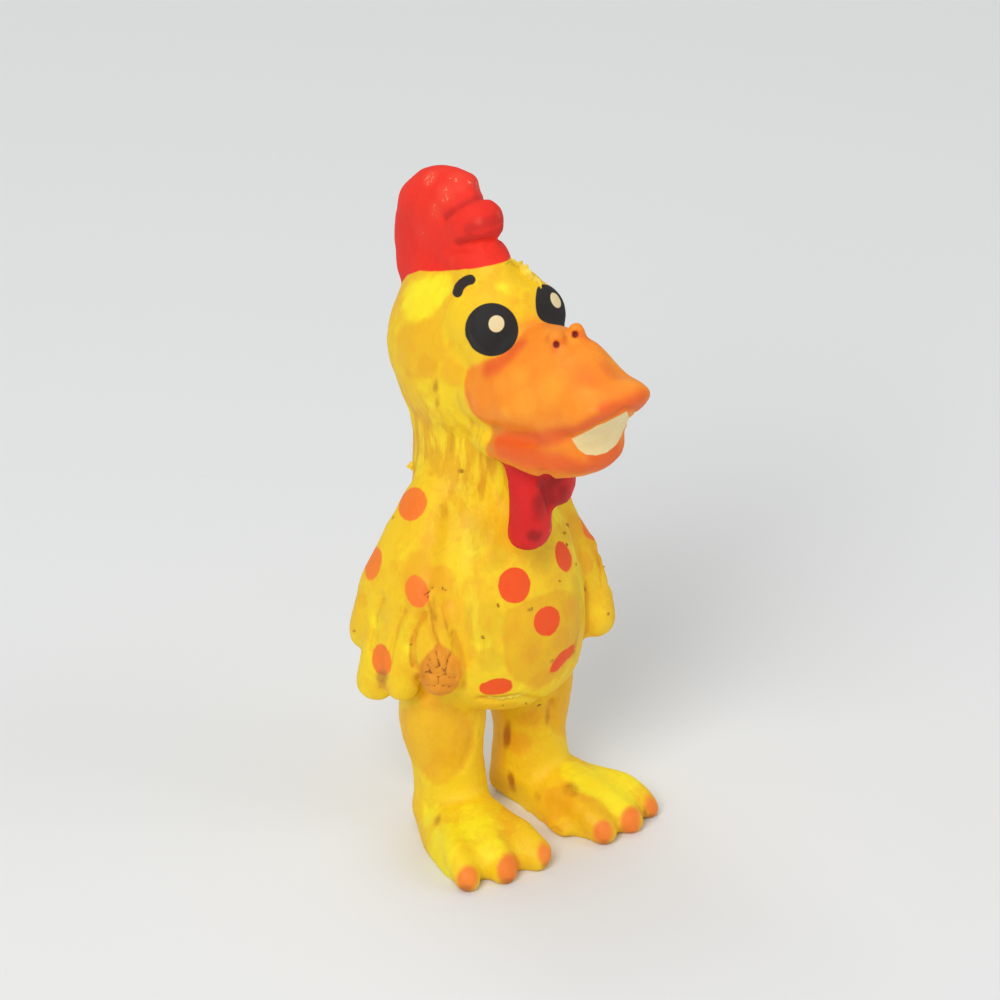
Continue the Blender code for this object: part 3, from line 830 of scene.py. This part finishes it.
def lay(under, rows):
    """Lays one layer of colour after another."""
    for name, start, full, sway, edge, strength, first, second in rows:
        value = add(tree, "ShaderNodeMath", {0: pattern[edge], 1: -0.5}, operation="ADD")
        value = add(tree, "ShaderNodeMath", {0: value, 1: sway}, operation="MULTIPLY")
        stored = add(tree, "ShaderNodeAttribute", out="Fac", attribute_name=name) if name else 0.5
        value = add(tree, "ShaderNodeMath", {0: value, 1: stored}, operation="ADD")
        limits = {"Value": value, 1: start, 2: full, 3: 0.0, 4: strength}
        share = add(tree, "ShaderNodeMapRange", limits, interpolation_type="SMOOTHSTEP")
        other = "mottle" if edge != "mottle" else "blotch"
        between = {"Value": pattern[other], 1: 0.38, 2: 0.62, 3: 0.0, 4: 1.0}
        turn = add(tree, "ShaderNodeMapRange", between)
        both = {0: turn, 6: colour(first), 7: colour(second)}
        varied = add(tree, "ShaderNodeMix", both, data_type="RGBA")
        under = add(tree, "ShaderNodeMix", {0: share, 6: under, 7: varied}, data_type="RGBA")
    return under


wide = add(tree, "ShaderNodeMapRange", {"Value": pattern["clouds"], 1: 0.38, 2: 0.62, 3: 0.0, 4: 1.0})
rubber = {0: wide, 6: colour("#FAD416"), 7: colour("#F6C413")}
skin_colour = lay(add(tree, "ShaderNodeMix", rubber, data_type="RGBA"), LAYERS)

# %% Paint over the bill, then the reds and the blacks
OVER = [
    ("glint", -0.12, 0.12, 0.3, "mottle", 1.0, "#EBDAAA", "#E2CE98"),
    ("worn", -0.5, 0.6, 1.4, "mottle", 0.95, "#F8A82C", "#DE8614"),
    ("crack", -0.14, 0.16, 0.3, "fine", 0.90, "#84400A", "#964C0C"),
    ("nostril", -0.3, 0.3, 0.2, "fine", 1.0, "#7A1408", "#8C1C0C"),
]
REDS = [
    ("comb", -0.2, 0.2, 0.8, "mottle", 1.0, "#F5301C", "#EC2818"),
    ("wattle", -0.2, 0.2, 0.6, "mottle", 1.0, "#E01C18", "#D21614"),
]
BLACKS = [
    ("brow", -0.16, 0.16, 0.5, "mottle", 1.0, "#241E1C", "#2B2320"),
    ("eye", -0.14, 0.14, 0.25, "mottle", 1.0, "#252322", "#201E1E"),
]
masks = {}
for name in ("bill", "comb", "wattle"):
    stored = add(tree, "ShaderNodeAttribute", out="Fac", attribute_name=name)
    masks[name] = add(tree, "ShaderNodeMapRange", {"Value": stored, 1: -0.3, 2: 0.3, 3: 0.0, 4: 1.0})


def tint(under, cloud, start, full, sway, edge, where, strength, code):
    """A cloud of colour that keeps inside one painted part."""
    stored = add(tree, "ShaderNodeAttribute", out="Fac", attribute_name=cloud)
    value = add(tree, "ShaderNodeMath", {0: pattern[edge], 1: -0.5}, operation="ADD")
    knobs = {0: value, 1: sway, 2: stored}
    value = add(tree, "ShaderNodeMath", knobs, operation="MULTIPLY_ADD")
    limits = {"Value": value, 1: start, 2: full, 3: 0.0, 4: strength}
    share = add(tree, "ShaderNodeMapRange", limits, interpolation_type="SMOOTHSTEP")
    share = add(tree, "ShaderNodeMath", {0: share, 1: masks[where]}, operation="MULTIPLY")
    return add(tree, "ShaderNodeMix", {0: share, 6: under, 7: colour(code)}, data_type="RGBA")


TINTS = [  # cloud, where it starts and is full, sway, pattern of its edge, painted part, strength
    # A painted highlight on the bill.
    ("bill_highlight", 0.15, 0.9, 0.5, "blotch", "bill", 0.75, "#FFA428"),
    # Redder paint, and painted shade under the lip and on the lower jaw.
    ("blush_and_lip_shade", 0.15, 0.9, 0.4, "blotch", "bill", 0.85, "#EC5C1E"),
    # Painted shade in the dimple at the corner of the mouth.
    ("lobe_and_mouth_shade", 0.15, 0.85, 0.4, "blotch", "bill", 0.62, "#D8902C"),
]
RED_TINTS = [
    # Painted shade under the lobes of the comb.
    ("lobe_and_mouth_shade", 0.15, 0.95, 0.3, "mottle", "comb", 0.62, "#B81C18"),
    ("shade", 0.15, 1.0, 0.4, "blotch", "wattle", 0.8, "#940A08"),
    ("specks_and_highlight", 0.15, 0.9, 0.6, "blotch", "comb", 0.4, "#F85C40"),
    ("specks_and_highlight", 0.95, 1.15, 2.8, "pores", "comb", 0.6, "#FA9078"),
    # A painted highlight low on the wattle.
    ("specks_and_highlight", 0.6, 1.0, 1.2, "fine", "wattle", 0.8, "#EE8068"),
]
for row in TINTS:
    skin_colour = tint(skin_colour, *row)
skin_colour = lay(skin_colour, [TOOTH, *REDS])  # a second coat covers what the tints left on the teeth
for row in RED_TINTS:
    skin_colour = tint(skin_colour, *row)
skin_colour = lay(skin_colour, BLACKS + OVER)
tree.links.new(skin_colour, shader.inputs["Base Color"])

# %% Satin face and fine relief
LATEX_IOR, BLEED = 1.52, 0.0015  # the bleed of light under the surface is in metres
dull = {"Value": pattern["mottle"], 1: 0.3, 2: 0.7, 3: 0.52, 4: 0.68}
satin = add(tree, "ShaderNodeMapRange", dull)
for name, chalky in (("eye", 0.78), ("comb", 0.72)):  # two paints that dried more matt
    stored = add(tree, "ShaderNodeAttribute", out="Fac", attribute_name=name)
    inside = add(tree, "ShaderNodeMapRange", {"Value": stored, 1: -0.2, 2: 0.2, 3: 0.0, 4: 1.0})
    satin = add(tree, "ShaderNodeMix", {0: inside, 2: satin, 3: chalky}, data_type="FLOAT")
tree.links.new(satin, shader.inputs["Roughness"])
shader.inputs["Specular IOR Level"].default_value = 0.35
relief = 0.0
for name, tall in (("fine", 0.14), ("mottle", 0.30), ("pores", 0.05), ("streak", 0.16)):
    knobs = {0: pattern[name], 1: tall, 2: relief}
    relief = add(tree, "ShaderNodeMath", knobs, operation="MULTIPLY_ADD")
bump = add(tree, "ShaderNodeBump", {"Height": relief, "Distance": 0.001, "Strength": 1.0})
tree.links.new(bump, shader.inputs["Normal"])
shader.inputs["IOR"].default_value = LATEX_IOR
shader.inputs["Subsurface Weight"].default_value = 0.12
shader.inputs["Subsurface Radius"].default_value = (1.0, 0.6, 0.25)
shader.inputs["Subsurface Scale"].default_value = BLEED
print("nodes in the skin's material:", len(tree.nodes))

# %% Put the skin in place of the plain solid
normals_now()
skin.materials.clear()
skin.materials.append(latex)
skin.shade_smooth()
duck = linked("latex_skin", skin)
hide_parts("duck")
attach(duck, "root")
print("skin triangles:", sum(len(face.vertices) - 2 for face in skin.polygons))

# %% [markdown]
# ## Torn edges
#
# Where the latex skin was pulled off the mould, or has aged, thin flaps stand up from it. Each is a short
# ragged ribbon: one long edge sinks into the skin, the other curls away and ends in uneven points.

# %% Flaps of torn latex
FOREHEAD = [(505, 264), (511, 262), (518, 268), (523, 274), (531, 279), (538, 283), (541, 288)]
FLAPS = [  # the line it grows from, how far its tips reach in mm, and which way they lean
    (FOREHEAD, 2.7, (0.6, -0.25, 0.8)),
    ([(412, 462), (413, 467), (414, 471)], 2.4, (-0.75, 0.6, 0.25)),
    ([(486, 696), (498, 697), (508, 696), (518, 694.5), (527, 692)], 1.2, (0.1, -0.55, -0.8)),
]
CROSS_ROWS = ((-0.35, 0.0), (0.0, 0.05), (0.5, 0.12), (1.0, 0.0))  # share of the length, and curl
STEPS_PER_PIECE, RAGGED, FLAP_THICKNESS = 5, 0.08, 0.4  # the last two are in mm
dice = np.random.default_rng(5)
flap_shape = bmesh.new()
for pairs, length, lean in FLAPS:
    line = trace(*pairs)
    steps = np.linspace(0, len(line) - 1, STEPS_PER_PIECE * (len(line) - 1) + 1)
    root = np.stack([np.interp(steps, range(len(line)), line[:, axis]) for axis in range(3)], 1)
    lean = np.array(lean) / np.linalg.norm(lean)
    tips = length * (0.5 + 0.5 * dice.random(len(steps))) * np.sin(np.linspace(0.15, 3.0, len(steps)))
    rows = []
    for share, curl in CROSS_ROWS:
        shift = dice.normal(0, RAGGED, (len(steps), 3))
        row = root + (share * tips)[:, None] * lean + curl * length * np.array(BACK) + shift
        rows.append([flap_shape.verts.new(place / 1000) for place in row])
    for lower, upper in zip(rows, rows[1:]):
        for a, b, c, d in zip(lower, lower[1:], upper[1:], upper):
            flap_shape.faces.new((a, b, c, d))
bmesh.ops.recalc_face_normals(flap_shape, faces=flap_shape.faces)
flap_mesh = bpy.data.meshes.new("flap")
flap_shape.to_mesh(flap_mesh)
flap_shape.free()
flap_thing = linked("flap", flap_mesh)
thicken = flap_thing.modifiers.new("Thickness of torn latex", "SOLIDIFY")
thicken.thickness, thicken.offset = FLAP_THICKNESS / 1000, 0.0
soften = flap_thing.modifiers.new("Soft edges", "SUBSURF")
soften.levels, soften.render_levels = 1, 1
flap_mesh = plain_mesh(flap_thing)
bpy.data.objects.remove(flap_thing)

# A tear shows the inside of the rubber: no paint, pale where it is thin, a little brown where dust
# stuck to it. It never touched the mould, so it is about as matt as the skin, and light bleeds further.
torn, tree, shader = start_material("torn_latex_edge")
place = add(tree, "ShaderNodeTexCoord", out="Object")
cloudy = add(tree, "ShaderNodeTexNoise", {"Vector": place, "Scale": 400.0, "Detail": 3.0})
share = add(tree, "ShaderNodeMapRange", {"Value": cloudy, 1: 0.35, 2: 0.65, 3: 0.0, 4: 1.0})
blend = add(tree, "ShaderNodeMix", {0: share, 6: colour("#F6E04A"), 7: colour("#DCB828")}, data_type="RGBA")
tree.links.new(blend, shader.inputs["Base Color"])
shader.inputs["Roughness"].default_value = 0.55
shader.inputs["Subsurface Weight"].default_value = 0.2
shader.inputs["Subsurface Scale"].default_value = BLEED
flap_mesh.materials.append(torn)
flap_mesh.shade_smooth()
flaps = linked("torn_latex_flaps", flap_mesh)
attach(flaps, "root")
print("flap faces:", len(flap_mesh.polygons))

# %% [markdown]
# ## Crumbs of old latex
#
# Old latex sheds little brown crumbs that stick to the skin. They repeat, so Geometry Nodes make them:
# a small rounded grain is put on every seat, turned and sized at random, and made lumpy by noise. Some
# seats are where the real crumbs are. The others are scattered thinly over the sides and the back.

# %% Seats for the crumbs
TRIES, SCATTERED = 4000, 26  # points drawn, and the most crumbs they give
BEHIND = 16  # mm behind the duck's middle, so that no stray crumb shows from the front
LOWEST, HIGHEST = 34, 128  # mm above the floor
CRUMBS = [(461, 472), (459.5, 470.5), (566, 525), (564.5, 534), (568, 526), (576, 564), (583.5, 587.5)]
CRUMBS += [(585, 589), (445, 590.5), (444, 589), (356, 631), (411, 646), (574, 652), (552, 661), (550, 662)]
CRUMBS += [(525, 703), (503, 705), (483, 637), (529, 609), (531, 610), (498, 605), (394, 517), (539, 706)]
CRUMBS += [(403, 465), (404.5, 467), (560, 581), (566, 545)]
seats = [on_skin(*pair) for pair in CRUMBS]
drawn = dice.permutation(count)[:TRIES]
far = [index for index in drawn if view[index, 2] > view[:, 2].mean() + BEHIND]
far = [index for index in far if LOWEST < points[index, 2] < HIGHEST and paint["wing_spot"][index] < -1]
far = far[:SCATTERED]
seats += [points[index] for index in far]
seat_mesh = bpy.data.meshes.new("seats")
seat_mesh.from_pydata([tuple(seat / 1000) for seat in seats], [], [])
grains = linked("grains", seat_mesh)
print(len(CRUMBS), "placed and", len(far), "scattered crumbs")

# %% Material of a crumb
# Latex that crumbled has dried hard and brown, and its broken faces scatter the light: a roughness near
# 0.7 and no shine. The grain of the real stuff is about 0.1 mm, drawn here as blotches of 0.7 mm.
crumb, tree, shader = start_material("dried_latex_crumb")
place = add(tree, "ShaderNodeTexCoord", out="Object")
cloudy = add(tree, "ShaderNodeTexNoise", {"Vector": place, "Scale": 700.0, "Detail": 3.0})
share = add(tree, "ShaderNodeMapRange", {"Value": cloudy, 1: 0.35, 2: 0.65, 3: 0.0, 4: 1.0})
blend = add(tree, "ShaderNodeMix", {0: share, 6: colour("#C89C1C"), 7: colour("#A87414")}, data_type="RGBA")
tree.links.new(blend, shader.inputs["Base Color"])
shader.inputs["Roughness"].default_value = 0.7

# %% The tree that seats the grains
GRAIN_RADIUS, LUMP = 0.00046, 0.0008  # metres
FULL_TURN = 6.28
nodes = bpy.data.node_groups.new("seat_grains", "GeometryNodeTree")
nodes.interface.new_socket("Geometry", in_out="INPUT", socket_type="NodeSocketGeometry")
size_socket = nodes.interface.new_socket("Grain radius", in_out="INPUT", socket_type="NodeSocketFloat")
seed_socket = nodes.interface.new_socket("Seed", in_out="INPUT", socket_type="NodeSocketInt")
nodes.interface.new_socket("Geometry", in_out="OUTPUT", socket_type="NodeSocketGeometry")
enter = nodes.nodes.new("NodeGroupInput")
dots = add(nodes, "GeometryNodeMeshToPoints", {"Mesh": enter.outputs["Geometry"]})
ball = {"Radius": enter.outputs["Grain radius"], "Subdivisions": 2}
grain = add(nodes, "GeometryNodeMeshIcoSphere", ball, out="Mesh")
span = {"Min": (0.55, 0.55, 0.4), "Max": (1.5, 1.1, 1.0), "Seed": enter.outputs["Seed"]}
scale = add(nodes, "FunctionNodeRandomValue", span, data_type="FLOAT_VECTOR")
whole = {"Min": (0.0, 0.0, 0.0), "Max": (FULL_TURN,) * 3, "Seed": enter.outputs["Seed"]}
spin = add(nodes, "FunctionNodeRandomValue", whole, data_type="FLOAT_VECTOR")
seated = {"Points": dots, "Instance": grain, "Rotation": spin, "Scale": scale}
copies = add(nodes, "GeometryNodeInstanceOnPoints", seated)
real = add(nodes, "GeometryNodeRealizeInstances", {"Geometry": copies})
lumps = add(nodes, "ShaderNodeTexNoise", {"Scale": 1400.0, "Detail": 1.0}, out="Color")
centred = add(nodes, "ShaderNodeVectorMath", {0: lumps, 1: (0.5, 0.5, 0.5)}, operation="SUBTRACT")
small = add(nodes, "ShaderNodeVectorMath", {0: centred, 1: (LUMP,) * 3}, operation="MULTIPLY")
lumpy = add(nodes, "GeometryNodeSetPosition", {"Geometry": real, "Offset": small})
finished = add(nodes, "GeometryNodeSetMaterial", {"Geometry": lumpy, "Material": crumb})
leave = nodes.nodes.new("NodeGroupOutput")
nodes.links.new(finished, leave.inputs["Geometry"])

modifier = grains.modifiers.new("Seat grains", "NODES")
modifier.node_group = nodes
modifier[size_socket.identifier] = GRAIN_RADIUS
modifier[seed_socket.identifier] = 11
crumb_mesh = plain_mesh(grains)
bpy.data.objects.remove(grains)
crumb_mesh.materials.clear()
crumb_mesh.materials.append(crumb)
crumb_mesh.shade_smooth()
crumbs = linked("latex_crumbs", crumb_mesh)
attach(crumbs, "root")
print("crumb faces:", len(crumb_mesh.polygons))

# %% [markdown]
# ## A pale studio
#
# Soft light from a large window shape at the upper left, a weaker one at the right, and an even pale
# surround, so that the shadows stay light.

# %% Floor, lights and surround
floor_shape = bmesh.new()
bmesh.ops.create_grid(floor_shape, x_segments=1, y_segments=1, size=6)
floor_mesh = bpy.data.meshes.new("studio_floor")
floor_shape.to_mesh(floor_mesh)
floor_shape.free()
floor = linked("studio_floor", floor_mesh)
# A roll of matt studio paper: pressed wood fibre with no coating, so it has no shine at all.
paper, tree, shader = start_material("pale_paper")
shader.inputs["Base Color"].default_value = colour("#E6E8E8")
shader.inputs["Roughness"].default_value = 0.9
floor_mesh.materials.append(paper)


def lamp(name, spot, size, power):
    light = bpy.data.lights.new(name, "AREA")
    light.shape, light.size, light.energy = "DISK", size, power
    holder = bpy.data.objects.new(name, light)
    bpy.context.scene.collection.objects.link(holder)
    holder.location = spot
    aim = Vector((0, 0, 0.09)) - Vector(spot)
    holder.rotation_euler = aim.to_track_quat("-Z", "Y").to_euler()


lamp("key", (-1.1, -0.7, 1.3), 0.9, 17)
lamp("fill", (1.0, -1.3, 0.9), 1.2, 5)
lamp("top", (0.1, 0.6, 1.6), 1.0, 6)

world = bpy.data.worlds.new("surround")
world.use_nodes = True
world.node_tree.nodes["Background"].inputs["Color"].default_value = (1, 1, 1, 1)
world.node_tree.nodes["Background"].inputs["Strength"].default_value = 0.42
bpy.context.scene.world = world
bpy.context.scene.view_settings.view_transform = "Standard"

# %% Finish
bpy.context.view_layer.update()
